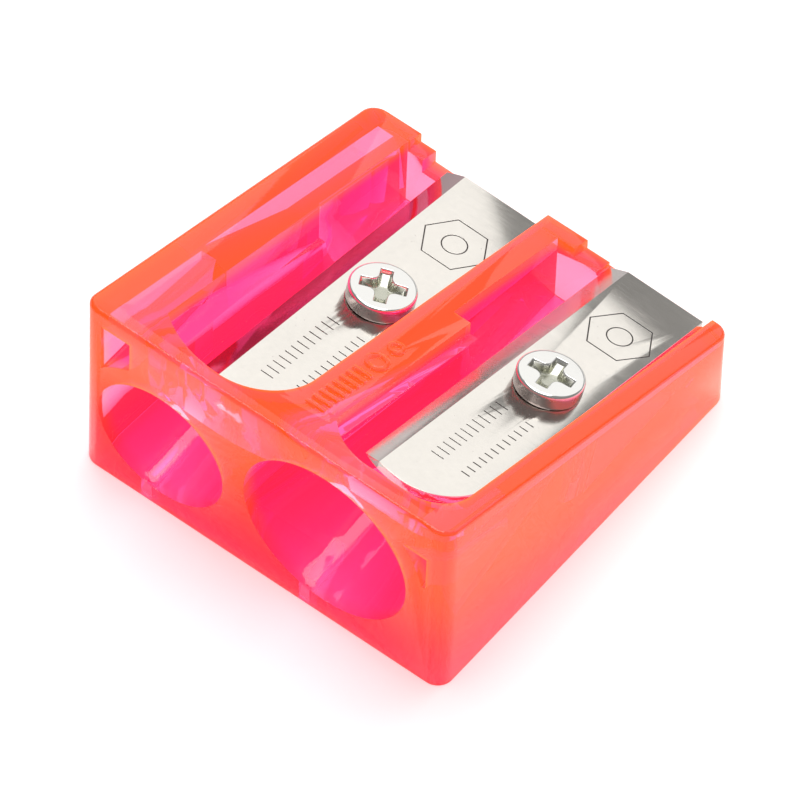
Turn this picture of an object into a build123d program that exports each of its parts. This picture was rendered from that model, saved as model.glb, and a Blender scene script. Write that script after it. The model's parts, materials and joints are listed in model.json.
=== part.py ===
"""Double-hole pencil sharpener: a moulded wedge body, two blades and the two screws that hold them.

Row frame: millimetres, +X to the right, +Y from the pencil face to the rear, +Z up.
The origin is the centre of the body's footprint, on the surface that it stands on.
"""

from build123d import *
from dataclasses import dataclass
from math import atan2, cos, degrees, radians, sin
import os

# Pencil holes
SMALL_BORE_RADIUS = 4.30
LARGE_BORE_RADIUS = 5.55
GUIDE_DEPTH = 0.56          # straight mouth of each hole, before it tapers
SMALL_CONE_LENGTH = 15.8    # taper from the straight mouth to the open end
LARGE_CONE_LENGTH = 14.4
SMALL_CONE_END_RADIUS = 1.50
LARGE_CONE_END_RADIUS = 1.80

# Walls of the body
OUTER_WALL = 1.16           # left side to the small hole
WEB = 1.43                  # between the two holes
RIGHT_WALL = 1.30
BORE_FLOOR = 1.37           # under both holes
ROOF = 1.83                 # over the large hole at the front face
REAR_HEIGHT = 5.70
REAR_WALL = 1.24
CAVITY_FLOOR = 0.80
LEFT_WALL_FRONT = 3.67      # the left wall is thicker at the front
LEFT_WALL_REAR = 3.40
MIDDLE_WALL = 1.55
SIZE_PAD_WIDTH = 2.70       # the middle wall's wide front stretch
CORNER_RADIUS = 1.00
EDGE_RADIUS = 0.25

# Blades
BLADE_LENGTH = 24.0
BLADE_WIDTH = 6.30
BLADE_THICKNESS = 0.50
BEVEL_WIDTH = 1.15
EDGE_LAND = 0.03            # thickness left at the cutting edge
BLADE_END_RADIUS = 3.50
EDGE_SETBACK = 0.75         # how far the cutting edge stops short of the blade's front tip
HOLE_FROM_REAR = 11.40
HOLE_FROM_EDGE = 3.69
FRONT_LAND = 2.50           # front face to the tip of the large blade
REAR_RECESS = 0.20          # rear face to the blades' square ends
BLADE_SIDE_GAP = 0.37
SMALL_PITCH = 13.7          # degrees that the seats fall towards the rear
LARGE_PITCH = 17.4
EDGE_LEAD = 2.0             # degrees that the cutting edges lie right of the top of the hole

# Blade pockets
SMALL_RIM_LAND = 1.02       # front face to the nearest point of the pocket's rim
LARGE_RIM_LAND = 1.38
RIM_SET_BACK = 1.78         # how far back the rim's left corner lies
SMALL_RIM_RADIUS = 3.70     # right-hand corner of the rim
LARGE_RIM_RADIUS = 2.30
LARGE_RIM_FLAT = 2.80       # straight stretch of the rim beside that corner
SMALL_LEDGE_DROP = 0.40     # ledge beside the small taper, under the seat
LARGE_LEDGE_DROP = 0.95     # ledge beside the large taper, under the top face
LARGE_LEDGE_WIDTH = 0.55
EDGE_OVERHANG = 1.20        # blade that reaches over the cavity behind the taper
EDGE_GAP = 0.15             # rear wall's step to the cutting edge
REAR_STEP_DROP = 0.78       # step on the rear wall, under the top face
SMALL_REAR_STEP = 1.05      # width of that step beside the left wall
LARGE_REAR_STEP = 1.10      # width that stays full height beside the middle wall

# Core-outs in the front face
CORE_WALL = 1.20            # between a core-out and its neighbours
CORE_SIDE = 1.32            # side of the body to a core-out
SMALL_CORE_WIDTH = 1.95
SMALL_CORE_HEIGHT = 3.90
SMALL_CORE_DEPTH = 8.50
LARGE_CORE_WIDTH = 1.75
LARGE_CORE_TOP = 2.80       # under the front edge of the top face
LARGE_CORE_HEIGHT = 3.00
LARGE_CORE_DEPTH = 6.00

# Core-out in the underside of the left wall
TAPER_WALL = 1.50           # between it and the small taper

# Groove in the underside, below each hole
GROOVE_WIDTH = 0.75
GROOVE_LENGTH = 2.60
GROOVE_START = 0.75
GROOVE_SKIN = 0.40          # left between the groove and the hole's wall
GROOVE_OFFSET = 0.26        # share of the bore radius, left of the axis

# Screws
SHANK_RADIUS = 1.15
SHANK_CORE_RADIUS = 0.88
THREAD_PITCH = 0.80
SHANK_REACH = 4.60          # under the blade
TIP_LENGTH = 0.70
HEAD_RADIUS = 1.95
HEAD_HEIGHT = 1.05
HEAD_EDGE_RADIUS = 0.22
RECESS_SPAN = 2.50
RECESS_WIDTH = 0.62
RECESS_DEPTH = 0.62
RECESS_CORE_RADIUS = 0.62
SMALL_RECESS_TURN = 27.0    # degrees about the screw's axis
LARGE_RECESS_TURN = 9.0

# Fits
SCREW_CLEARANCE = 0.05      # radial, shank in the body and in the blade
SEAT_GAP = 0.02             # blade over its seat, and head over the blade
HOLE_BOTTOM_GAP = 0.30

# Raised size marks on the middle wall: a small ring, a large ring and a row of ticks
MARK_HEIGHT = 0.14
MARK_SINK = 0.10
MARK_LINE = 0.24
MARK_START = 3.00
TICK_COUNT = 8
TICK_SPACING = 0.62
TICK_LENGTH = 1.25
SMALL_RING_RADIUS = 0.52
LARGE_RING_RADIUS = 0.72
RING_GAP = 0.55

BIG = 80.0                  # side of a block that stands for half of space
MIN_CORNER = (Align.CENTER, Align.CENTER, Align.MIN)

# Sizes that follow
EDGE_SHIFT = LARGE_BORE_RADIUS * sin(radians(EDGE_LEAD))
WIDTH = (
    OUTER_WALL + 2 * SMALL_BORE_RADIUS + WEB + LARGE_BORE_RADIUS
    + EDGE_SHIFT + BLADE_WIDTH + BLADE_SIDE_GAP + RIGHT_WALL
)
LENGTH = FRONT_LAND + BLADE_LENGTH * cos(radians(LARGE_PITCH)) + REAR_RECESS
FRONT_HEIGHT = BORE_FLOOR + 2 * LARGE_BORE_RADIUS + ROOF
ROOF_SLOPE = degrees(atan2(FRONT_HEIGHT - REAR_HEIGHT, LENGTH))
LEFT_X = -WIDTH / 2
RIGHT_X = WIDTH / 2
FRONT_Y = -LENGTH / 2
REAR_Y = LENGTH / 2
CAVITY_REAR_Y = REAR_Y - REAR_WALL


@dataclass(frozen=True)
class Station:
    """One pencil hole with its taper, blade seat and screw."""

    name: str
    bore_x: float
    bore_radius: float
    cone_length: float
    cone_end_radius: float
    pitch: float
    recess_turn: float

    @property
    def bore_z(self):
        return BORE_FLOOR + self.bore_radius

    @property
    def cone_end_y(self):
        return FRONT_Y + GUIDE_DEPTH + self.cone_length

    @property
    def edge_x(self):
        """X of the cutting edge where it starts at the mouth."""
        return self.bore_x + self.bore_radius * sin(radians(EDGE_LEAD))

    @property
    def seat(self):
        """Plane of the blade's seat: +X across the blade, +Y along it to the rear, +Z off the seat.

        It touches the mouth of the hole EDGE_LEAD degrees right of its top, and falls by the pitch.
        """
        lead = radians(EDGE_LEAD)
        fall = radians(self.pitch)
        mouth = (self.edge_x, FRONT_Y + GUIDE_DEPTH, self.bore_z + self.bore_radius * cos(lead))
        normal = (sin(lead) * cos(fall), sin(fall), cos(lead) * cos(fall))
        return Plane(origin=mouth, x_dir=(cos(lead), 0, -sin(lead)), z_dir=normal)

    @property
    def blade_rear(self):
        """Distance along the seat from its origin to the blade's square end."""
        return (REAR_Y - REAR_RECESS - FRONT_Y - GUIDE_DEPTH) / cos(radians(self.pitch))

    @property
    def hole_place(self):
        """Screw axis on the seat plane."""
        return Pos(HOLE_FROM_EDGE, self.blade_rear - HOLE_FROM_REAR)


SMALL = Station(
    "small", LEFT_X + OUTER_WALL + SMALL_BORE_RADIUS, SMALL_BORE_RADIUS,
    SMALL_CONE_LENGTH, SMALL_CONE_END_RADIUS, SMALL_PITCH, SMALL_RECESS_TURN,
)
LARGE = Station(
    "large", SMALL.bore_x + SMALL_BORE_RADIUS + WEB + LARGE_BORE_RADIUS, LARGE_BORE_RADIUS,
    LARGE_CONE_LENGTH, LARGE_CONE_END_RADIUS, LARGE_PITCH, LARGE_RECESS_TURN,
)

# Faces of the walls beside the blades
MIDDLE_LEFT_X = SMALL.edge_x + BLADE_WIDTH + BLADE_SIDE_GAP
MIDDLE_RIGHT_X = MIDDLE_LEFT_X + MIDDLE_WALL
PAD_RIGHT_X = MIDDLE_LEFT_X + SIZE_PAD_WIDTH
LIP_X = PAD_RIGHT_X + LARGE_LEDGE_WIDTH
WALL_RIGHT_X = RIGHT_X - RIGHT_WALL
LEFT_FACE_FRONT_X = LEFT_X + LEFT_WALL_FRONT
LEFT_FACE_REAR_X = LEFT_X + LEFT_WALL_REAR

ROOF_PLANE = Plane(
    origin=(0, FRONT_Y, FRONT_HEIGHT), x_dir=(1, 0, 0),
    z_dir=(0, sin(radians(ROOF_SLOPE)), cos(radians(ROOF_SLOPE))),
)


def above(plane, drop=0.0):
    """Half of space over a plane, lowered by drop."""
    return plane.location * Pos(0, 0, -drop) * Box(BIG, BIG, BIG, align=MIN_CORNER)


def block(x_low, x_high, y_low, y_high, z_low, z_high):
    """Box between two corners."""
    size = (x_high - x_low, y_high - y_low, z_high - z_low)
    return Pos(x_low, y_low, z_low) * Box(*size, align=(Align.MIN, Align.MIN, Align.MIN))


def column(x_low, x_high, y_low, y_high):
    """Box that passes right through the body's height."""
    return block(x_low, x_high, y_low, y_high, -BIG, BIG)


def right_of_edge(station, gap):
    """Half of space on the blade's side of the cutting edge, moved left by gap."""
    return station.seat.location * Pos(-gap, 0, 0) * Box(
        BIG, BIG, BIG, align=(Align.MIN, Align.CENTER, Align.CENTER))


def along_y(x, y, z):
    """Place for a solid whose own +Z becomes the row's +Y."""
    return Pos(x, y, z) * Rot(X=-90)


def wedge():
    """Outside of the body: flat base, upright ends, top face that falls to the rear."""
    side = Plane.YZ * make_face(Polyline(
        (FRONT_Y, 0), (REAR_Y, 0), (REAR_Y, REAR_HEIGHT), (FRONT_Y, FRONT_HEIGHT), close=True,
    ))
    solid = extrude(side, amount=WIDTH / 2, both=True)
    solid = fillet(solid.edges().filter_by(Axis.Z), CORNER_RADIUS)
    top_face = solid.faces().sort_by(Axis((0, 0, 0), ROOF_PLANE.z_dir))[-1]
    return fillet(top_face.edges(), EDGE_RADIUS)


def pocket_outline(left_front_x, left_rear_x, right_x, rim_land, flat, right_radius):
    """Plan of a blade pocket, full height: rounded at the front and open at the rear.

    The rim's left arc meets its right-hand corner at the crown, or a flat stretch joins them.
    """
    rim_y = FRONT_Y + rim_land
    rear_y = REAR_Y + CORNER_RADIUS
    turn = (right_x - right_radius, rim_y)
    crown = (turn[0] - flat, rim_y)
    left = (left_front_x, rim_y + RIM_SET_BACK)
    right = (right_x, rim_y + right_radius)
    edges = [
        TangentArc(crown, left, tangent=(-1, 0)),
        TangentArc(turn, right, tangent=(1, 0)),
        Polyline(right, (right_x, rear_y), (left_rear_x, rear_y), left),
    ]
    if flat > 0:
        edges.append(Line(crown, turn))
    return extrude(make_face(edges), amount=BIG / 2, both=True)


def pencil_hole(station):
    """Straight mouth and taper of one pencil hole."""
    x, z = station.bore_x, station.bore_z
    radius = station.bore_radius
    mouth = along_y(x, FRONT_Y - GUIDE_DEPTH, z) * Cylinder(radius, 2 * GUIDE_DEPTH, align=MIN_CORNER)
    taper = along_y(x, FRONT_Y + GUIDE_DEPTH, z) * Cone(
        radius, station.cone_end_radius, station.cone_length, align=MIN_CORNER)
    return mouth + taper


def groove(station):
    """Groove in the underside that leaves a skin of even thickness under the start of the taper."""
    x = station.bore_x - GROOVE_OFFSET * station.bore_radius
    rise = (station.bore_radius - station.cone_end_radius) / station.cone_length
    start = FRONT_Y + GROOVE_START
    end = start + GROOVE_LENGTH
    low = BORE_FLOOR - GROOVE_SKIN + rise * (GROOVE_START - GUIDE_DEPTH)
    side = Plane.YZ * make_face(Polyline(
        (start, -1), (end, -1), (end, low + rise * GROOVE_LENGTH), (start, low), close=True))
    return Pos(x, 0, 0) * extrude(side, amount=GROOVE_WIDTH / 2, both=True)


def cavity(station, left_x):
    """Shavings space behind the taper, open at the top beside the cutting edge."""
    return block(
        left_x, station.edge_x + EDGE_OVERHANG,
        station.cone_end_y, CAVITY_REAR_Y, CAVITY_FLOOR, BIG,
    )


def small_pocket():
    """Everything cut from above on the small side."""
    pocket = pocket_outline(
        LEFT_FACE_FRONT_X, LEFT_FACE_REAR_X, MIDDLE_LEFT_X, SMALL_RIM_LAND, 0, SMALL_RIM_RADIUS)
    step_x = LEFT_FACE_REAR_X + SMALL_REAR_STEP
    over_seat = column(LEFT_X, RIGHT_X, FRONT_Y, CAVITY_REAR_Y) + column(step_x, RIGHT_X, FRONT_Y, BIG)
    ledge = column(LEFT_X, SMALL.edge_x, FRONT_Y, SMALL.cone_end_y)
    return (
        (pocket & above(SMALL.seat) & over_seat)
        + (pocket & above(SMALL.seat, SMALL_LEDGE_DROP) & ledge)
        + (pocket & above(ROOF_PLANE, REAR_STEP_DROP))
        + cavity(SMALL, LEFT_FACE_REAR_X)
    )


def large_pocket():
    """Everything cut from above on the large side."""
    pocket = pocket_outline(
        PAD_RIGHT_X, PAD_RIGHT_X, WALL_RIGHT_X, LARGE_RIM_LAND, LARGE_RIM_FLAT, LARGE_RIM_RADIUS)
    full_x = MIDDLE_RIGHT_X + LARGE_REAR_STEP
    over_seat = column(LIP_X, RIGHT_X, FRONT_Y, CAVITY_REAR_Y) + right_of_edge(LARGE, EDGE_GAP)
    ledge = column(LEFT_X, RIGHT_X, FRONT_Y, LARGE.cone_end_y)
    slot = block(LIP_X, LARGE.edge_x, FRONT_Y, LARGE.cone_end_y, LARGE.bore_z, BIG)
    rear_step = column(full_x, RIGHT_X, CAVITY_REAR_Y, BIG)
    return (
        (pocket & above(LARGE.seat) & over_seat)
        + (pocket & above(ROOF_PLANE, LARGE_LEDGE_DROP) & ledge)
        + (pocket & slot)
        + (pocket & above(ROOF_PLANE, REAR_STEP_DROP) & rear_step)
        + cavity(LARGE, MIDDLE_RIGHT_X)
    )


def core_outs():
    """Two pockets in the front face that thin the body's upper corners."""
    left_x = LEFT_X + CORE_SIDE
    over_small = block(
        left_x, left_x + SMALL_CORE_WIDTH, FRONT_Y - 1, FRONT_Y + SMALL_CORE_DEPTH, 0, BIG)
    over_small -= above(ROOF_PLANE, CORE_WALL)
    over_small &= above(ROOF_PLANE, CORE_WALL + SMALL_CORE_HEIGHT)
    right_x = RIGHT_X - CORE_SIDE
    top = FRONT_HEIGHT - LARGE_CORE_TOP
    over_large = block(
        right_x - LARGE_CORE_WIDTH, right_x, FRONT_Y - 1, FRONT_Y + LARGE_CORE_DEPTH,
        top - LARGE_CORE_HEIGHT, top,
    )
    over_large -= above(LARGE.seat, CORE_WALL)
    for station in (SMALL, LARGE):
        keep = along_y(station.bore_x, FRONT_Y - 1, station.bore_z) * Cylinder(
            station.bore_radius + CORE_WALL, LENGTH, align=MIN_CORNER)
        over_small -= keep
        over_large -= keep
    return over_small + over_large


def side_core_out():
    """Pocket in the underside that thins the left wall, cut back beside the small taper."""
    pocket = block(
        LEFT_X + OUTER_WALL, LEFT_FACE_REAR_X - CORE_WALL, FRONT_Y, CAVITY_REAR_Y, -1, BIG)
    pocket -= above(ROOF_PLANE, CORE_WALL)
    mouth_y = FRONT_Y + GUIDE_DEPTH
    beside_taper = make_face(Polyline(
        (SMALL.bore_x, FRONT_Y), (SMALL.bore_x - SMALL_BORE_RADIUS - TAPER_WALL, FRONT_Y),
        (SMALL.bore_x - SMALL_BORE_RADIUS - TAPER_WALL, mouth_y),
        (SMALL.bore_x - SMALL_CONE_END_RADIUS - TAPER_WALL, SMALL.cone_end_y),
        (SMALL.bore_x, SMALL.cone_end_y), close=True,
    ))
    return pocket - extrude(beside_taper, amount=BIG / 2, both=True)


def size_marks():
    """Raised rings, one per hole size, and ticks along the wide stretch of the middle wall."""
    middle_x = (MIDDLE_LEFT_X + PAD_RIGHT_X) / 2
    place = ROOF_PLANE.location * Pos(middle_x, MARK_START / cos(radians(ROOF_SLOPE)), -MARK_SINK)
    height = MARK_HEIGHT + MARK_SINK
    marks = []
    for count in range(TICK_COUNT):
        tick = Box(TICK_LENGTH, MARK_LINE, height, align=MIN_CORNER)
        marks.append(place * Pos(0, count * TICK_SPACING) * tick)
    along = TICK_COUNT * TICK_SPACING
    for radius in (LARGE_RING_RADIUS, SMALL_RING_RADIUS):
        along += radius
        ring = Cylinder(radius, height, align=MIN_CORNER)
        ring -= Cylinder(radius - MARK_LINE, height, align=MIN_CORNER)
        marks.append(place * Pos(0, along) * ring)
        along += radius + RING_GAP
    return marks


def body():
    """Moulded body with its pockets, holes, core-outs and screw holes."""
    solid = wedge()
    for station, pocket in ((SMALL, small_pocket()), (LARGE, large_pocket())):
        solid -= pocket
        solid -= pencil_hole(station)
        solid -= groove(station)
        depth = SHANK_REACH + HOLE_BOTTOM_GAP
        screw_hole = Pos(0, 0, -depth) * Cylinder(
            SHANK_RADIUS + SCREW_CLEARANCE, depth + 1, align=MIN_CORNER)
        solid -= station.seat.location * station.hole_place * screw_hole
    solid -= core_outs()
    solid -= side_core_out()
    for mark in size_marks():
        solid += mark
    return solid


def blade(station):
    """Blade: square rear end, rounded front end, ground on top along its cutting edge."""
    rear = station.blade_rear
    tip = rear - BLADE_LENGTH
    crown = (BLADE_WIDTH - BLADE_END_RADIUS, tip)
    corner = (0, tip + EDGE_SETBACK)
    shoulder = (BLADE_WIDTH, tip + BLADE_END_RADIUS)
    outline = make_face([
        TangentArc(crown, corner, tangent=(-1, 0)),
        TangentArc(crown, shoulder, tangent=(1, 0)),
        Polyline(shoulder, (BLADE_WIDTH, rear), (0, rear), corner),
    ])
    solid = extrude(outline, amount=BLADE_THICKNESS)
    solid -= station.hole_place * Cylinder(SHANK_RADIUS + SCREW_CLEARANCE, BLADE_THICKNESS, align=MIN_CORNER)
    bevel = Plane.XZ * make_face(Polyline(
        (-1, EDGE_LAND), (0, EDGE_LAND), (BEVEL_WIDTH, BLADE_THICKNESS),
        (BEVEL_WIDTH, 1), (-1, 1), close=True,
    ))
    solid -= Pos(0, rear + 1, 0) * extrude(bevel, amount=BLADE_LENGTH + 2)
    return station.seat.location * Pos(0, 0, SEAT_GAP) * solid


def thread_outline():
    """Half section of the screw's shank: ridges one pitch apart, then the tip."""
    points = [(0, 0), (SHANK_RADIUS, 0)]
    depth = BLADE_THICKNESS + SEAT_GAP
    points.append((SHANK_RADIUS, -depth))
    ridges = int((SHANK_REACH - TIP_LENGTH) / THREAD_PITCH)
    for count in range(ridges):
        top = depth + count * THREAD_PITCH
        points += [
            (SHANK_CORE_RADIUS, -top - THREAD_PITCH / 4),
            (SHANK_CORE_RADIUS, -top - THREAD_PITCH / 2),
            (SHANK_RADIUS, -top - THREAD_PITCH * 7 / 8),
            (SHANK_RADIUS, -top - THREAD_PITCH),
        ]
    end = depth + SHANK_REACH
    points += [(SHANK_CORE_RADIUS, -end + TIP_LENGTH / 2), (SHANK_CORE_RADIUS / 2, -end), (0, -end)]
    return points


def screw(station):
    """Cheese-head screw with a cross recess, its head resting on the blade."""
    shank = revolve(Plane.XZ * make_face(Polyline(*thread_outline(), close=True)), Axis.Z)
    head = Cylinder(HEAD_RADIUS, HEAD_HEIGHT, align=MIN_CORNER)
    head = fillet(head.edges().sort_by(Axis.Z)[-1], HEAD_EDGE_RADIUS)
    floor = Pos(0, 0, HEAD_HEIGHT - RECESS_DEPTH)
    for turn in (0, 90):
        arm = Box(RECESS_WIDTH, RECESS_SPAN, HEAD_HEIGHT, align=MIN_CORNER)
        head -= floor * Rot(Z=station.recess_turn + turn) * arm
    head -= floor * Cone(RECESS_CORE_RADIUS / 2, RECESS_CORE_RADIUS, RECESS_DEPTH, align=MIN_CORNER)
    under_head = BLADE_THICKNESS + 2 * SEAT_GAP
    return station.seat.location * station.hole_place * Pos(0, 0, under_head) * (head + shank)


def main():
    os.makedirs("parts", exist_ok=True)
    export_step(body(), "parts/body.step")
    for station in (SMALL, LARGE):
        export_step(blade(station), f"parts/{station.name}_blade.step")
        export_step(screw(station), f"parts/{station.name}_screw.step")
    print(f"width {WIDTH:.2f}  length {LENGTH:.2f}  front height {FRONT_HEIGHT:.2f}")


main()
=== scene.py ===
"""Looks of the double pencil sharpener: clear body, ground blades, plated screws and a plain studio."""

import json
import math

import bmesh
import bpy
import numpy as np
from mathutils import Matrix, Vector


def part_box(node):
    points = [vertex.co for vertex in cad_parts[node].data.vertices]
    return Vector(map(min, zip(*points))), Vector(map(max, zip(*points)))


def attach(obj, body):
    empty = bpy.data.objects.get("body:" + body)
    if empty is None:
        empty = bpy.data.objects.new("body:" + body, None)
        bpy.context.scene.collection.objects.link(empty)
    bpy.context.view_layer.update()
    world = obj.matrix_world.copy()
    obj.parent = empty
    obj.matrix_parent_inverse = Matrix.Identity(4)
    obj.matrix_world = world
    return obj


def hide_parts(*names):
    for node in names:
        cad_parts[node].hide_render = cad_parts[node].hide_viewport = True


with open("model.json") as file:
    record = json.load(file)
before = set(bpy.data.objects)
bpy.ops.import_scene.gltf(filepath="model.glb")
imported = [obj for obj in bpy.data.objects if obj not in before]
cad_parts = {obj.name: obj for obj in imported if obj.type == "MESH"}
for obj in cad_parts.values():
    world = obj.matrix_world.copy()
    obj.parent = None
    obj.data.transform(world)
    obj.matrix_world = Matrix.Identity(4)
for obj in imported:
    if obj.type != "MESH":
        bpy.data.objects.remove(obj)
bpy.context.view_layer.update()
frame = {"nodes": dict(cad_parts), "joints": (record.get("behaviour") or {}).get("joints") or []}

bl_info = {
    "name": "Pencil Sharpener Looks",
    "version": (1, 0, 0),
    "blender": (4, 5, 0),
    "location": "View3D > Sidebar > Sharpener",
    "description": "Builds the visible pieces and materials of a pencil sharpener around its CAD frame",
    "category": "Object",
}

MM = 0.001
SIDES = ("small", "large")
MERGE_DISTANCE = 0.0002 * MM
EDGE_SEGMENTS = 2

# A screw's fixed sizes. Lengths along its axis are measured from the blade's seat.
SHANK_REACH = 4.60 * MM
SHANK_RADIUS = 1.15 * MM
CORE_RADIUS = 0.88 * MM
UNDER_HEAD = 0.54 * MM
RECESS_TURN = {"small": math.radians(27), "large": math.radians(9)}

# Etched marks on a blade, measured from its screw: across the blade, and along it to the rear.
MARK_CENTRE = (0.26 * MM, 6.6 * MM)
RING_SHARE = 0.42
TICKS_CENTRE = -6.2 * MM
TICKS_HALF_SPAN = 3.3 * MM
TICK_ROWS = ((-0.75 * MM, 0.42 * MM), (1.15 * MM, 0.28 * MM))


# ---------------------------------------------------------------- settings

class BodySettings(bpy.types.PropertyGroup):
    """Clear body."""

    tint: bpy.props.FloatVectorProperty(
        name="Tint", description="Colour that a millimetre of the plastic lets through",
        subtype="COLOR", size=3, min=0, max=1, default=(0.985, 0.55, 0.78))
    # Painted light: the three colours below are an emission standing in for the light the dye takes up from
    # above. They are orange at the top face, darker red at the foot and darker pink inside, not the plastic's
    # own colour.
    top_painted_light: bpy.props.FloatVectorProperty(
        name="Top glow", description="Colour of the dye's glow at the top face",
        subtype="COLOR", size=3, min=0, max=1, default=(1.0, 0.20, 0.015))
    base_painted_light: bpy.props.FloatVectorProperty(
        name="Base glow", description="Colour of the dye's glow at the foot of the outer faces",
        subtype="COLOR", size=3, min=0, max=1, default=(0.8, 0.035, 0.05))
    inner_painted_light: bpy.props.FloatVectorProperty(
        name="Inner glow", description="Colour of the dye's glow on the faces inside the body",
        subtype="COLOR", size=3, min=0, max=1, default=(0.6, 0.045, 0.14))
    # Strength and depths of that painted light.
    painted_light_strength: bpy.props.FloatProperty(
        name="Glow strength", description="How brightly the dye glows", min=0, max=2, default=0.45)
    painted_light_depth: bpy.props.FloatProperty(
        name="Glow depth", description="Depth under the top face at which the top glow has given way",
        unit="LENGTH", min=0.0001, max=0.02, default=12.0 * MM)
    painted_light_skin_depth: bpy.props.FloatProperty(
        name="Skin depth", description="How far in from the outer faces the glow reaches",
        unit="LENGTH", min=0.0001, max=0.01, default=1.1 * MM)
    roof_slope: bpy.props.FloatProperty(
        name="Top slope", description="Fall of the top face to the rear",
        subtype="ANGLE", default=math.radians(18.57))
    edge_round: bpy.props.FloatProperty(
        name="Edge rounding", description="Width of the mould's rounding on every sharp edge",
        unit="LENGTH", min=0, max=0.0005, default=0.07 * MM)


class BladeSettings(bpy.types.PropertyGroup):
    """Blades."""

    steel: bpy.props.FloatVectorProperty(
        name="Steel", description="Colour of the polished steel",
        subtype="COLOR", size=3, min=0, max=1, default=(0.82, 0.78, 0.72))
    # Painted reflection: the small bevel's dark pink is a painted reflection of the pink body with painted
    # shade, not the steel's own colour.
    small_bevel: bpy.props.FloatVectorProperty(
        name="Small bevel", description="Colour of the small blade's polished bevel",
        subtype="COLOR", size=3, min=0, max=1, default=(0.34, 0.22, 0.23))
    large_bevel: bpy.props.FloatVectorProperty(
        name="Large bevel", description="Colour of the large blade's ground bevel",
        subtype="COLOR", size=3, min=0, max=1, default=(0.50, 0.46, 0.44))
    edge_round: bpy.props.FloatProperty(
        name="Edge rounding", description="Width of the rounding on the stamped edges",
        unit="LENGTH", min=0, max=0.0002, default=0.03 * MM)
    mark_radius: bpy.props.FloatProperty(
        name="Mark radius", description="Radius of the etched hexagon",
        unit="LENGTH", min=0.0005, max=0.003, default=1.75 * MM)
    line_width: bpy.props.FloatProperty(
        name="Etched line", description="Width of the etched lines",
        unit="LENGTH", min=0.00002, max=0.0003, default=0.08 * MM)
    tick_spacing: bpy.props.FloatProperty(
        name="Tick spacing", description="Distance between the etched ticks",
        unit="LENGTH", min=0.0001, max=0.002, default=0.55 * MM)
    bevel_edge: bpy.props.FloatProperty(
        name="Bevel edge", description="Where the ground bevel ends, across the blade from the screw",
        unit="LENGTH", default=-2.54 * MM)


class ScrewSettings(bpy.types.PropertyGroup):
    """Screws."""

    plating: bpy.props.FloatVectorProperty(
        name="Plating", description="Colour of the nickel plating",
        subtype="COLOR", size=3, min=0, max=1, default=(0.78, 0.77, 0.74))
    # Painted shade with a painted reflection of the pink body: the darker, pinkish colour of the head's side
    # below.
    side_shaded_plating: bpy.props.FloatVectorProperty(
        name="Side plating", description="Colour of the duller plating on the head's side",
        subtype="COLOR", size=3, min=0, max=1, default=(0.42, 0.36, 0.35))
    # Painted shade: the darker colour of the cross recess and of the shank below.
    recess_shaded_plating: bpy.props.FloatVectorProperty(
        name="Recess plating", description="Colour of the plating in the cross recess and on the shank",
        subtype="COLOR", size=3, min=0, max=1, default=(0.52, 0.52, 0.44))
    head_radius: bpy.props.FloatProperty(
        name="Head radius", description="Radius of the cheese head", unit="LENGTH", default=1.95 * MM)
    head_height: bpy.props.FloatProperty(
        name="Head height", description="Height of the head over the blade", unit="LENGTH", default=1.05 * MM)
    head_edge: bpy.props.FloatProperty(
        name="Head edge", description="Rounding of the head's upper edge", unit="LENGTH", default=0.22 * MM)
    recess_depth: bpy.props.FloatProperty(
        name="Recess depth", description="Depth of the cross recess at its middle",
        unit="LENGTH", default=0.62 * MM)
    recess_span: bpy.props.FloatProperty(
        name="Recess span", description="Length of the cross recess from tip to tip",
        unit="LENGTH", default=2.70 * MM)
    recess_width: bpy.props.FloatProperty(
        name="Recess width", description="Width of one arm of the recess", unit="LENGTH", default=0.74 * MM)
    thread_pitch: bpy.props.FloatProperty(
        name="Thread pitch", description="Rise of the thread in one turn", unit="LENGTH", default=0.80 * MM)


class StageSettings(bpy.types.PropertyGroup):
    """Studio and camera."""

    floor_size: bpy.props.FloatProperty(
        name="Floor size", description="Side of the square floor", unit="LENGTH", default=4.0)
    floor_colour: bpy.props.FloatVectorProperty(
        name="Floor", description="Colour of the floor", subtype="COLOR", size=3, min=0, max=1,
        default=(0.92, 0.92, 0.92))
    floor_lift: bpy.props.FloatProperty(
        name="Floor lift", description="Light that the floor adds to what the camera sees of it",
        min=0, default=0.35)
    room: bpy.props.FloatProperty(
        name="Room", description="Brightness of the room around the softboxes", min=0, default=0.30)
    rear_light: bpy.props.FloatProperty(
        name="Rear softbox", description="Brightness of the upright softbox behind the part",
        min=0, default=0.90)
    top_light: bpy.props.FloatProperty(
        name="Top softbox", description="Brightness of the softbox over the part", min=0, default=3.6)
    azimuth: bpy.props.FloatProperty(
        name="Azimuth", description="Direction of the camera around the part",
        subtype="ANGLE", default=math.radians(36.27))
    elevation: bpy.props.FloatProperty(
        name="Elevation", description="Angle of the camera over the floor",
        subtype="ANGLE", default=math.radians(54.30))
    roll: bpy.props.FloatProperty(
        name="Roll", description="Turn of the camera about its own line of sight",
        subtype="ANGLE", default=math.radians(2.226))
    distance: bpy.props.FloatProperty(
        name="Distance", description="Camera to the point that it looks at", unit="LENGTH", default=0.7096)
    lens: bpy.props.FloatProperty(
        name="Lens", description="Focal length on a 36 mm sensor", unit="CAMERA", default=587.7)
    target: bpy.props.FloatVectorProperty(
        name="Target", description="Point that the camera looks at",
        subtype="TRANSLATION", size=3, default=(0.92 * MM, -1.83 * MM, 5.01 * MM))


SETTINGS = {
    "sharpener_body": BodySettings,
    "sharpener_blades": BladeSettings,
    "sharpener_screws": ScrewSettings,
    "sharpener_stage": StageSettings,
}


# ---------------------------------------------------------------- places

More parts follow.
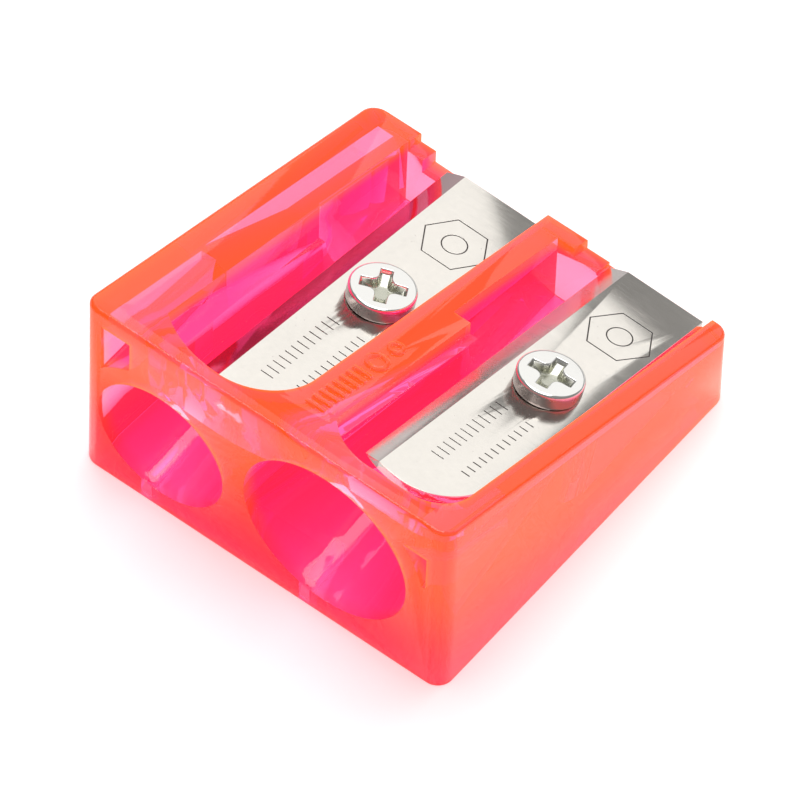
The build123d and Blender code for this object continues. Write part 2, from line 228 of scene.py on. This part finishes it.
def seat(side):
    """Point on a screw's axis at the blade's seat, and the seat's axes as columns.

    The axes run across the blade, along it to the rear, and off the seat.
    """
    joint = next(j for j in frame["joints"] if j["name"] == f"{side}_screw_turn")
    off = np.array(joint["axis"], float)
    off /= np.linalg.norm(off)
    across = np.array((off[2], 0.0, -off[0]))
    across /= np.linalg.norm(across)
    return np.array(joint["pos_m"], float), np.column_stack((across, np.cross(off, across), off))


# ---------------------------------------------------------------- meshes

def link(piece):
    """Put an object in the scene and return it."""
    bpy.context.scene.collection.objects.link(piece)
    return piece


def finished_copy(node, name, edge_round, sharp_from):
    """Copy of a CAD node with its triangles joined, and its edges sharper than an angle rounded."""
    mesh = frame["nodes"][node].data.copy()
    mesh.name = name
    mesh.materials.clear()
    build = bmesh.new()
    build.from_mesh(mesh)
    bmesh.ops.remove_doubles(build, verts=build.verts, dist=MERGE_DISTANCE)
    bmesh.ops.dissolve_limit(
        build, angle_limit=math.radians(0.2), use_dissolve_boundaries=False,
        verts=build.verts, edges=build.edges)
    build.to_mesh(mesh)
    build.free()
    piece = link(bpy.data.objects.new(name, mesh))
    for polygon in mesh.polygons:
        polygon.use_smooth = True
    bevel = piece.modifiers.new("edges", "BEVEL")
    bevel.width = edge_round
    bevel.segments = EDGE_SEGMENTS
    bevel.limit_method = "ANGLE"
    bevel.angle_limit = sharp_from
    bevel.harden_normals = True
    return piece


def skin(name, rings, top, tip):
    """Closed mesh over a grid of rings: quads between rings, and fans to the top and tip points.

    rings has the shape (ring, place around, xyz).
    """
    count, around = rings.shape[:2]
    points = np.concatenate((rings.reshape(-1, 3), np.array([top, tip])))
    here = np.arange(around)
    after = np.roll(here, -1)
    start = np.arange(count - 1)[:, None] * around
    quads = np.stack((start + here, start + around + here, start + around + after, start + after), -1)
    first = np.stack((np.full(around, count * around), here, after), -1)
    last_ring = (count - 1) * around
    last = np.stack((np.full(around, count * around + 1), last_ring + after, last_ring + here), -1)
    mesh = bpy.data.meshes.new(name)
    mesh.from_pydata(points.tolist(), [], quads.reshape(-1, 4).tolist() + first.tolist() + last.tolist())
    mesh.update()
    for polygon in mesh.polygons:
        polygon.use_smooth = True
    mesh.set_sharp_from_angle(angle=math.radians(50))
    return link(bpy.data.objects.new(name, mesh))


def smooth_step(value, low, high):
    """0 below low, 1 above high, and a cubic with level ends between them."""
    share = np.clip((value - low) / (high - low), 0, 1)
    return share * share * (3 - 2 * share)


def cross_recess(x, y, look):
    """Depth of the cross recess under the head's top.

    The cross is two rounded bars joined by a smooth minimum of their distances, which fillets its inner
    corners. The depth rises from its outline over a slanted wall, and the floor falls to the middle.
    """
    half_long = look.recess_span / 2
    half_wide = look.recess_width / 2
    blend = 0.50 * MM
    wall = 0.16 * MM
    round_corner = 0.06 * MM

    def bar(along, across):
        over_long = np.abs(along) - (half_long - round_corner)
        over_wide = np.abs(across) - (half_wide - round_corner)
        outside = np.hypot(np.maximum(over_long, 0), np.maximum(over_wide, 0))
        return outside + np.minimum(np.maximum(over_long, over_wide), 0) - round_corner

    first, second = bar(x, y), bar(y, x)
    mix = np.clip(0.5 + 0.5 * (second - first) / blend, 0, 1)
    outline = second * (1 - mix) + first * mix - blend * mix * (1 - mix)
    floor = 1 - 0.55 * smooth_step(np.hypot(x, y), 0.30 * half_long, half_long)
    return look.recess_depth * floor * smooth_step(-outline, -0.02 * MM, wall)


def screw_rings(look, turn):
    """Rings of a screw from the middle of its head to its tip, in its own axes, and its two end points.

    Head top: a shallow dome less the cross recess, turned by an angle. Head side: a quarter round, the wall
    and a small lower round. Shank: the core's radius plus a ridge that climbs one pitch in each turn, faded
    out at both ends.
    """
    around = 240
    theta = np.linspace(0, 2 * math.pi, around, endpoint=False)
    radius, height, edge = look.head_radius, look.head_height, look.head_edge
    dome = 0.05 * MM

    flat = np.linspace(0.03, 1, 62)[:, None] * (radius - edge) * np.ones(around)
    x, y = flat * np.cos(theta - turn), flat * np.sin(theta - turn)
    top_z = UNDER_HEAD + height - dome * (flat / radius) ** 2 - cross_recess(x, y, look)
    rings = [(flat, top_z)]

    shoulder = UNDER_HEAD + height - edge - dome * ((radius - edge) / radius) ** 2
    turn_over = np.linspace(0, math.pi / 2, 9)[1:, None] * np.ones(around)
    rings.append((radius - edge + edge * np.sin(turn_over), shoulder + edge * np.cos(turn_over)))
    foot = 0.10 * MM
    wall_z = np.linspace(shoulder, UNDER_HEAD + foot, 6)[1:, None] * np.ones(around)
    rings.append((np.full_like(wall_z, radius), wall_z))
    turn_under = np.linspace(0, math.pi / 2, 6)[1:, None] * np.ones(around)
    rings.append((radius - foot + foot * np.cos(turn_under), UNDER_HEAD + foot - foot * np.sin(turn_under)))
    rings.append((np.full((1, around), SHANK_RADIUS), np.full((1, around), UNDER_HEAD)))

    plain = 0.5 * MM
    fade = 1.2 * MM
    point = 0.7 * MM
    depth = np.linspace(UNDER_HEAD, -SHANK_REACH, 96)[1:, None] * np.ones(around)
    phase = np.mod(depth / look.thread_pitch - theta / (2 * math.pi), 1.0)
    ridge = np.clip(1.6 * (1 - np.abs(2 * phase - 1)) - 0.45, 0, 1)
    ends = smooth_step(-depth, -0.1 * MM, plain) * smooth_step(depth, -SHANK_REACH, -SHANK_REACH + fade)
    core = CORE_RADIUS * (0.45 + 0.55 * smooth_step(depth, -SHANK_REACH, -SHANK_REACH + point))
    neck = smooth_step(depth, -0.2 * MM, 0.0)
    shank = core + (SHANK_RADIUS - core) * np.maximum(ridge * ends, neck)
    rings.append((shank, depth))

    radii = np.concatenate([r for r, _ in rings])
    heights = np.concatenate([z for _, z in rings])
    grid = np.stack((radii * np.cos(theta), radii * np.sin(theta), heights), -1)
    top = np.array((0, 0, UNDER_HEAD + height - look.recess_depth))
    return grid, top, np.array((0, 0, -SHANK_REACH))


# ---------------------------------------------------------------- shader nodes

def add(tree, kind, values=None, **settings):
    """Node of a kind, with its settings and the values of its unlinked inputs."""
    node = tree.nodes.new(kind)
    for name, value in settings.items():
        setattr(node, name, value)
    for key, value in (values or {}).items():
        node.inputs[key].default_value = value
    return node


def math_node(tree, operation, *terms):
    """Math node whose terms are sockets or numbers; returns its output."""
    node = add(tree, "ShaderNodeMath", operation=operation)
    for place, term in enumerate(terms):
        if isinstance(term, (int, float)):
            node.inputs[place].default_value = term
        else:
            tree.links.new(term, node.inputs[place])
    return node.outputs[0]


def new_group(name, inputs, outputs):
    """Empty shader node group with named sockets, and its two end nodes."""
    group = bpy.data.node_groups.new(name, "ShaderNodeTree")
    for title, kind, default in inputs:
        socket = group.interface.new_socket(title, in_out="INPUT", socket_type=kind)
        if default is not None:
            socket.default_value = default
    for title, kind in outputs:
        group.interface.new_socket(title, in_out="OUTPUT", socket_type=kind)
    return group, group.nodes.new("NodeGroupInput"), group.nodes.new("NodeGroupOutput")


def grain_group():
    """Grain: two octaves of noise as a value around a middle, and as a height."""
    group, given, out = new_group(
        "Grain",
        [("Vector", "NodeSocketVector", None), ("Scale", "NodeSocketFloat", 4000.0),
         ("Middle", "NodeSocketFloat", 0.2), ("Spread", "NodeSocketFloat", 0.1)],
        [("Value", "NodeSocketFloat"), ("Height", "NodeSocketFloat")])
    fine = add(group, "ShaderNodeTexNoise", {"Detail": 3.0, "Roughness": 0.6})
    group.links.new(given.outputs["Vector"], fine.inputs["Vector"])
    group.links.new(given.outputs["Scale"], fine.inputs["Scale"])
    coarse = add(group, "ShaderNodeTexNoise", {"Detail": 2.0})
    group.links.new(given.outputs["Vector"], coarse.inputs["Vector"])
    group.links.new(math_node(group, "MULTIPLY", given.outputs["Scale"], 0.08), coarse.inputs["Scale"])
    both = math_node(group, "ADD", math_node(group, "MULTIPLY", fine.outputs["Fac"], 0.5),
                     math_node(group, "MULTIPLY", coarse.outputs["Fac"], 0.5))
    centred = math_node(group, "SUBTRACT", both, 0.5)
    wide = math_node(group, "MULTIPLY", centred, math_node(group, "MULTIPLY", given.outputs["Spread"], 4.0))
    group.links.new(math_node(group, "ADD", wide, given.outputs["Middle"]), out.inputs["Value"])
    group.links.new(both, out.inputs["Height"])
    return group


def dust_group():
    """Dust: specks on what faces up, as a mask."""
    group, given, out = new_group(
        "Dust",
        [("Vector", "NodeSocketVector", None), ("Scale", "NodeSocketFloat", 2500.0),
         ("Amount", "NodeSocketFloat", 0.5)],
        [("Mask", "NodeSocketFloat")])
    specks = add(group, "ShaderNodeTexVoronoi", {"Randomness": 1.0})
    group.links.new(given.outputs["Vector"], specks.inputs["Vector"])
    group.links.new(given.outputs["Scale"], specks.inputs["Scale"])
    near = add(group, "ShaderNodeMapRange",
               {"From Min": 0.05, "From Max": 0.10, "To Min": 1.0, "To Max": 0.0})
    group.links.new(specks.outputs["Distance"], near.inputs["Value"])
    up = add(group, "ShaderNodeSeparateXYZ")
    group.links.new(add(group, "ShaderNodeNewGeometry").outputs["Normal"], up.inputs[0])
    facing = add(group, "ShaderNodeMapRange", {"From Min": 0.5, "From Max": 0.9})
    group.links.new(up.outputs["Z"], facing.inputs["Value"])
    chosen = add(group, "ShaderNodeTexNoise", {"Scale": 300.0})
    group.links.new(given.outputs["Vector"], chosen.inputs["Vector"])
    here = math_node(group, "GREATER_THAN", chosen.outputs["Fac"], 0.55)
    mask = math_node(group, "MULTIPLY", near.outputs[0], facing.outputs[0])
    mask = math_node(group, "MULTIPLY", mask, here)
    group.links.new(math_node(group, "MULTIPLY", mask, given.outputs["Amount"]), out.inputs["Mask"])
    return group


def shared_group(name, make):
    """The group of that name, made on first use."""
    return bpy.data.node_groups.get(name) or make()


def use_group(tree, group, vector, values):
    """A group placed in a material with its own values."""
    node = add(tree, "ShaderNodeGroup")
    node.node_tree = group
    tree.links.new(vector, node.inputs["Vector"])
    for key, value in values.items():
        node.inputs[key].default_value = value
    return node


def new_material(name):
    """Material with a Principled shader; returns it, its tree, the shader and the Object coordinates."""
    material = bpy.data.materials.new(name)
    material.use_nodes = True
    tree = material.node_tree
    shader = tree.nodes["Principled BSDF"]
    place = add(tree, "ShaderNodeTexCoord").outputs["Object"]
    return material, tree, shader, place


def bump(tree, height, distance, strength):
    """Normal of a surface raised by a height socket."""
    node = add(tree, "ShaderNodeBump", {"Distance": distance, "Strength": strength})
    tree.links.new(height, node.inputs["Height"])
    return node.outputs["Normal"]


def local_place(tree, place, origin, axes):
    """Object coordinates turned into a seat's own axes."""
    mapping = add(tree, "ShaderNodeMapping", vector_type="TEXTURE")
    mapping.inputs["Location"].default_value = origin
    mapping.inputs["Rotation"].default_value = Matrix(axes.tolist()).to_euler()
    tree.links.new(place, mapping.inputs["Vector"])
    return mapping.outputs["Vector"]


# ---------------------------------------------------------------- materials

def distance_from(tree, first, second):
    """How far a point lies from a middle, given how far it is off it along two axes."""
    squares = [math_node(tree, "MULTIPLY", term, term) for term in (first, second)]
    return math_node(tree, "SQRT", math_node(tree, "ADD", *squares))


def box_depth(tree, place, low, high):
    """How far a point lies inside the nearest of a box's four upright faces."""
    split = add(tree, "ShaderNodeSeparateXYZ")
    tree.links.new(place, split.inputs[0])
    depths = []
    for axis in range(2):
        middle = (low[axis] + high[axis]) / 2
        off_middle = math_node(tree, "ABSOLUTE", math_node(tree, "SUBTRACT", split.outputs[axis], middle))
        depths.append(math_node(tree, "SUBTRACT", high[axis] - middle, off_middle))
    return math_node(tree, "MINIMUM", *depths)


def roof_depth(tree, place, low, high, slope):
    """How far a point lies under the plane of the top face."""
    normal = Vector((0, math.sin(slope), math.cos(slope)))
    along_normal = add(tree, "ShaderNodeVectorMath", operation="DOT_PRODUCT")
    along_normal.inputs[1].default_value = normal
    tree.links.new(place, along_normal.inputs[0])
    return math_node(tree, "SUBTRACT", normal.dot(Vector((0, low.y, high.z))), along_normal.outputs["Value"])


def mix_colour(tree, factor, first, second):
    """Mix of two colours, each a socket or a plain colour; returns its output."""
    node = add(tree, "ShaderNodeMix", data_type="RGBA")
    tree.links.new(factor, node.inputs["Factor"])
    for name, colour in (("A", first), ("B", second)):
        if isinstance(colour, bpy.types.NodeSocket):
            tree.links.new(colour, node.inputs[name])
        else:
            node.inputs[name].default_value = (*colour, 1)
    return node.outputs["Result"]


def ramp(tree, value, start, end):
    """Smooth 0 to 1 between two values of a socket."""
    limits = {"From Min": start, "From Max": end}
    node = add(tree, "ShaderNodeMapRange", limits, interpolation_type="SMOOTHSTEP")
    tree.links.new(value, node.inputs["Value"])
    return node.outputs[0]


def clear_plastic(look):
    """Clear dyed plastic: glass with absorption through its depth, and painted light in its skin.

    The painted light is an emission standing in for the light the dye takes up from above. It goes from the
    top face's colour to the foot's down the outer faces, and to the darker inner colour behind the skin.
    """
    material, tree, shader, place = new_material("clear_plastic")
    shader.inputs["Base Color"].default_value = (1.0, 0.95, 0.96, 1)
    shader.inputs["Transmission Weight"].default_value = 1.0
    shader.inputs["IOR"].default_value = 1.48
    low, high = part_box("body")
    under_roof = roof_depth(tree, place, low, high, look.roof_slope)
    inside = box_depth(tree, place, low, high)
    # Painted light: orange under the top face, giving way to the darker foot colour with depth, as if lit
    # from above.
    down = ramp(tree, under_roof, look.painted_light_depth / 3, look.painted_light_depth)
    outer = mix_colour(tree, down, look.top_painted_light, look.base_painted_light)
    nearest = math_node(tree, "MINIMUM", under_roof, inside)
    # Painted shade: behind the outer skin the painted light falls to the darker inner colour.
    glow = mix_colour(tree, ramp(tree, nearest, 0.1 * MM, look.painted_light_skin_depth), outer, look.inner_painted_light)
    tree.links.new(glow, shader.inputs["Emission Color"])
    # The painted light is sent out as emission, so the body glows as if it were a lamp.
    shader.inputs["Emission Strength"].default_value = look.painted_light_strength
    grain = use_group(tree, shared_group("Grain", grain_group), place,
                      {"Scale": 900.0, "Middle": 0.03, "Spread": 0.02})
    tree.links.new(grain.outputs["Value"], shader.inputs["Roughness"])
    tree.links.new(bump(tree, grain.outputs["Height"], 0.004 * MM, 0.5), shader.inputs["Normal"])
    taken = [-math.log(c) / MM for c in look.tint]
    density = max(taken)
    volume = add(tree, "ShaderNodeVolumeAbsorption", {"Density": density})
    volume.inputs["Color"].default_value = (*[1 - t / density for t in taken], 1)
    tree.links.new(volume.outputs[0], tree.nodes["Material Output"].inputs["Volume"])
    return material


def etched_marks(tree, own, look):
    """Mask of a blade's etched marks: a hexagon round a ring, and two rows of ticks before the screw."""
    split = add(tree, "ShaderNodeSeparateXYZ")
    tree.links.new(own, split.inputs[0])
    across = math_node(tree, "ABSOLUTE", math_node(tree, "SUBTRACT", split.outputs["X"], MARK_CENTRE[0]))
    along = math_node(tree, "ABSOLUTE", math_node(tree, "SUBTRACT", split.outputs["Y"], MARK_CENTRE[1]))
    slant = math_node(tree, "ADD", math_node(tree, "MULTIPLY", across, math.cos(math.pi / 6)),
                      math_node(tree, "MULTIPLY", along, 0.5))
    hexagon = math_node(tree, "MAXIMUM", slant, along)
    ring = distance_from(tree, across, along)
    marks = []
    for distance, radius in ((hexagon, look.mark_radius), (ring, look.mark_radius * RING_SHARE)):
        off = math_node(tree, "ABSOLUTE", math_node(tree, "SUBTRACT", distance, radius))
        marks.append(math_node(tree, "LESS_THAN", off, look.line_width / 2))
    wave = math_node(tree, "PINGPONG", split.outputs["Y"], look.tick_spacing / 2)
    tick = math_node(tree, "LESS_THAN", wave, look.line_width / 2)
    span = math_node(tree, "ABSOLUTE", math_node(tree, "SUBTRACT", split.outputs["Y"], TICKS_CENTRE))
    tick = math_node(tree, "MULTIPLY", tick, math_node(tree, "LESS_THAN", span, TICKS_HALF_SPAN))
    for row, half_length in TICK_ROWS:
        off = math_node(tree, "ABSOLUTE", math_node(tree, "SUBTRACT", split.outputs["X"], row))
        marks.append(math_node(tree, "MULTIPLY", tick, math_node(tree, "LESS_THAN", off, half_length)))
    mask = marks[0]
    for mark in marks[1:]:
        mask = math_node(tree, "MAXIMUM", mask, mark)
    return mask


def blade_steel(side, look):
    """Ground steel: flats with fine lines, dust and etched marks, and a ground bevel in a set colour, which
    on the small blade is a painted pink reflection of the body with painted shade.
    """
    material, tree, shader, place = new_material(f"{side}_blade_steel")
    shader.inputs["Metallic"].default_value = 1.0
    origin, axes = seat(side)
    own = local_place(tree, place, origin, axes)
    split = add(tree, "ShaderNodeSeparateXYZ")
    tree.links.new(own, split.inputs[0])
    bevel = math_node(tree, "LESS_THAN", split.outputs["X"], look.bevel_edge)
    underside = 0.03 * MM
    bevel = math_node(tree, "MULTIPLY", bevel, math_node(tree, "GREATER_THAN", split.outputs["Z"], underside))
    stretch = add(tree, "ShaderNodeMapping")
    stretch.inputs["Rotation"].default_value = (0, 0, math.radians(62))
    stretch.inputs["Scale"].default_value = (0.08, 1.0, 1.0)
    tree.links.new(own, stretch.inputs["Vector"])
    shared = shared_group("Grain", grain_group)
    lines = use_group(tree, shared, stretch.outputs["Vector"],
                      {"Scale": 9000.0, "Middle": 0.15, "Spread": 0.07})
    bevel_roughness = {"small": 0.10, "large": 0.24}[side]
    grind = use_group(tree, shared, stretch.outputs["Vector"],
                      {"Scale": 14000.0, "Middle": bevel_roughness, "Spread": 0.10})
    mottle = use_group(tree, shared, own, {"Scale": 2600.0, "Middle": 0.5, "Spread": 0.35})
    dust = use_group(tree, shared_group("Dust", dust_group), place, {"Scale": 2600.0, "Amount": 0.5})
    marks = etched_marks(tree, own, look)
    steel = mix_colour(tree, mottle.outputs["Value"], [c * 0.88 for c in look.steel], look.steel)
    # On the small blade this bevel colour is a painted reflection of the pink body with painted shade.
    steel = mix_colour(tree, bevel, steel, getattr(look, f"{side}_bevel"))
    steel = mix_colour(tree, dust.outputs["Mask"], steel, (0.30, 0.28, 0.26))
    tree.links.new(mix_colour(tree, marks, steel, (0.10, 0.09, 0.085)), shader.inputs["Base Color"])
    rough = add(tree, "ShaderNodeMix")
    tree.links.new(bevel, rough.inputs["Factor"])
    tree.links.new(lines.outputs["Value"], rough.inputs["A"])
    tree.links.new(grind.outputs["Value"], rough.inputs["B"])
    rough = math_node(tree, "MAXIMUM", rough.outputs["Result"], math_node(tree, "MULTIPLY", marks, 0.6))
    tree.links.new(math_node(tree, "MAXIMUM", rough, dust.outputs["Mask"]), shader.inputs["Roughness"])
    height = math_node(tree, "SUBTRACT", math_node(tree, "MULTIPLY", lines.outputs["Height"], 0.2), marks)
    height = math_node(tree, "ADD", height, math_node(tree, "MULTIPLY", bevel, grind.outputs["Height"]))
    tree.links.new(bump(tree, height, 0.01 * MM, 0.35), shader.inputs["Normal"])
    return material


def nickel_plate(side, look):
    """Bright plating with a fine grain, duller in the recess, down the head's side and below, with painted
    shade darkening its colour there and a painted pink reflection of the body on the head's side.
    """
    material, tree, shader, place = new_material(f"{side}_nickel_plate")
    shader.inputs["Metallic"].default_value = 1.0
    origin, axes = seat(side)
    own = local_place(tree, place, origin, axes)
    grain = use_group(tree, shared_group("Grain", grain_group), own,
                      {"Scale": 5200.0, "Middle": 0.13, "Spread": 0.07})
    split = add(tree, "ShaderNodeSeparateXYZ")
    tree.links.new(own, split.inputs[0])
    # Painted shade: the colour darkens from just under the head's top downwards and into the recess.
    top = UNDER_HEAD + look.head_height
    shade_under_top = add(tree, "ShaderNodeMapRange", {
        "From Min": top - 0.39 * MM, "From Max": top - 0.09 * MM, "To Min": 1.0, "To Max": 0.0})
    tree.links.new(split.outputs["Z"], shade_under_top.inputs["Value"])
    out = distance_from(tree, split.outputs["X"], split.outputs["Y"])
    inside = math_node(tree, "LESS_THAN", out, look.head_radius - look.head_edge)
    # Painted shade in the recess and on the shank, and painted shade with a painted reflection of the pink
    # body on the head's side.
    painted_shade_colour = mix_colour(tree, inside, look.side_shaded_plating, look.recess_shaded_plating)
    plating = mix_colour(tree, shade_under_top.outputs[0], look.plating, painted_shade_colour)
    tree.links.new(plating, shader.inputs["Base Color"])
    dullness = math_node(tree, "MULTIPLY", shade_under_top.outputs[0], 0.15)
    rough = math_node(tree, "ADD", grain.outputs["Value"], dullness)
    tree.links.new(rough, shader.inputs["Roughness"])
    tree.links.new(bump(tree, grain.outputs["Height"], 0.006 * MM, 0.3), shader.inputs["Normal"])
    return material


def floor_paint(look):
    """Plain matt floor, lifted towards white where the camera sees it directly."""
    material, tree, shader, _ = new_material("floor_paint")
    shader.inputs["Base Color"].default_value = (*look.floor_colour, 1)
    shader.inputs["Roughness"].default_value = 0.9
    shader.inputs["Specular IOR Level"].default_value = 0.1
    shader.inputs["Emission Color"].default_value = (1, 1, 1, 1)
    seen = add(tree, "ShaderNodeLightPath").outputs["Is Camera Ray"]
    tree.links.new(math_node(tree, "MULTIPLY", seen, look.floor_lift), shader.inputs["Emission Strength"])
    return material


# ---------------------------------------------------------------- operators

def softbox(name, place, width, height, brightness):
    """Area light that faces the origin; its power gives its face that brightness."""
    light = bpy.data.lights.new(name, "AREA")
    light.shape = "RECTANGLE"
    light.size = width
    light.size_y = height
    light.energy = math.pi * width * height * brightness
    lamp = link(bpy.data.objects.new(name, light))
    lamp.location = place
    lamp.rotation_euler = (-lamp.location).to_track_quat("-Z", "Y").to_euler()


class SHARPENER_OT_body(bpy.types.Operator):
    """Build the clear body from its CAD solid, with rounded edges"""

    bl_idname = "sharpener.body"
    bl_label = "Clear body"

    def execute(self, context):
        look = context.scene.sharpener_body
        piece = finished_copy("body", "clear_body", look.edge_round, math.radians(40))
        piece.data.materials.append(clear_plastic(look))
        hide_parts("body")
        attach(piece, "body")
        return {"FINISHED"}


class SHARPENER_OT_blades(bpy.types.Operator):
    """Build both blades from their CAD solids, with rounded edges"""

    bl_idname = "sharpener.blades"
    bl_label = "Blades"

    def execute(self, context):
        look = context.scene.sharpener_blades
        for side in SIDES:
            node = f"{side}_blade"
            piece = finished_copy(node, f"{side}_ground_blade", look.edge_round, math.radians(15))
            piece.data.materials.append(blade_steel(side, look))
            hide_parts(node)
            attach(piece, node)
        return {"FINISHED"}


class SHARPENER_OT_screws(bpy.types.Operator):
    """Build both screws with a cross recess and a helical thread"""

    bl_idname = "sharpener.screws"
    bl_label = "Screws"

    def execute(self, context):
        look = context.scene.sharpener_screws
        for side in SIDES:
            node = f"{side}_screw"
            origin, axes = seat(side)
            grid, top, tip = screw_rings(look, RECESS_TURN[side])
            piece = skin(
                f"{side}_cross_screw", grid @ axes.T + origin, axes @ top + origin, axes @ tip + origin)
            piece.data.materials.append(nickel_plate(side, look))
            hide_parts(node)
            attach(piece, node)
        return {"FINISHED"}


class SHARPENER_OT_stage(bpy.types.Operator):
    """Build the pale floor, the soft light and the camera"""

    bl_idname = "sharpener.stage"
    bl_label = "Studio"

    def execute(self, context):
        look = context.scene.sharpener_stage
        half = look.floor_size / 2
        mesh = bpy.data.meshes.new("floor")
        corners = [(-half, -half, 0), (half, -half, 0), (half, half, 0), (-half, half, 0)]
        mesh.from_pydata(corners, [], [(0, 1, 2, 3)])
        mesh.materials.append(floor_paint(look))
        floor = link(bpy.data.objects.new("floor", mesh))
        floor.location.z = -0.02 * MM

        world = bpy.data.worlds.new("white_room")
        world.use_nodes = True
        back = world.node_tree.nodes["Background"]
        back.inputs["Color"].default_value = (1, 1, 1, 1)
        back.inputs["Strength"].default_value = look.room
        context.scene.world = world
        softbox("rear_softbox", (-0.35, 1.0, 0.88), 2.2, 1.25, look.rear_light)
        softbox("top_softbox", (-0.10, 0.15, 1.2), 0.9, 0.9, look.top_light)

        right = Vector((math.cos(look.azimuth), math.sin(look.azimuth), 0))
        back_way = Vector((
            math.sin(look.azimuth) * math.cos(look.elevation),
            -math.cos(look.azimuth) * math.cos(look.elevation),
            math.sin(look.elevation)))
        up = back_way.cross(right)
        turned_right = math.cos(look.roll) * right + math.sin(look.roll) * up
        turned_up = math.cos(look.roll) * up - math.sin(look.roll) * right
        camera = bpy.data.cameras.new("camera")
        camera.lens = look.lens
        camera.sensor_width = 36
        camera.clip_start = 0.01
        view = link(bpy.data.objects.new("camera", camera))
        place = Vector(look.target) + look.distance * back_way
        turn = Matrix((turned_right, turned_up, back_way)).transposed()
        view.matrix_world = Matrix.Translation(place) @ turn.to_4x4()
        context.scene.camera = view
        context.scene.view_settings.view_transform = "Standard"
        return {"FINISHED"}


class SHARPENER_PT_looks(bpy.types.Panel):
    """Sharpener pieces and their settings"""

    bl_idname = "SHARPENER_PT_looks"
    bl_label = "Sharpener"
    bl_space_type = "VIEW_3D"
    bl_region_type = "UI"
    bl_category = "Sharpener"

    def draw(self, context):
        for operator in OPERATORS:
            self.layout.operator(operator.bl_idname)
        for name, kind in SETTINGS.items():
            box = self.layout.box()
            for field in kind.__annotations__:
                box.prop(getattr(context.scene, name), field)


OPERATORS = (SHARPENER_OT_stage, SHARPENER_OT_body, SHARPENER_OT_blades, SHARPENER_OT_screws)
CLASSES = (*SETTINGS.values(), *OPERATORS, SHARPENER_PT_looks)


def register():
    for kind in CLASSES:
        bpy.utils.register_class(kind)
    for name, kind in SETTINGS.items():
        setattr(bpy.types.Scene, name, bpy.props.PointerProperty(type=kind))


def unregister():
    for name in SETTINGS:
        delattr(bpy.types.Scene, name)
    for kind in reversed(CLASSES):
        bpy.utils.unregister_class(kind)


def main():
    register()
    bpy.ops.sharpener.stage()
    bpy.ops.sharpener.body()
    bpy.ops.sharpener.blades()
    bpy.ops.sharpener.screws()


if __name__ == "__main__":
    main()
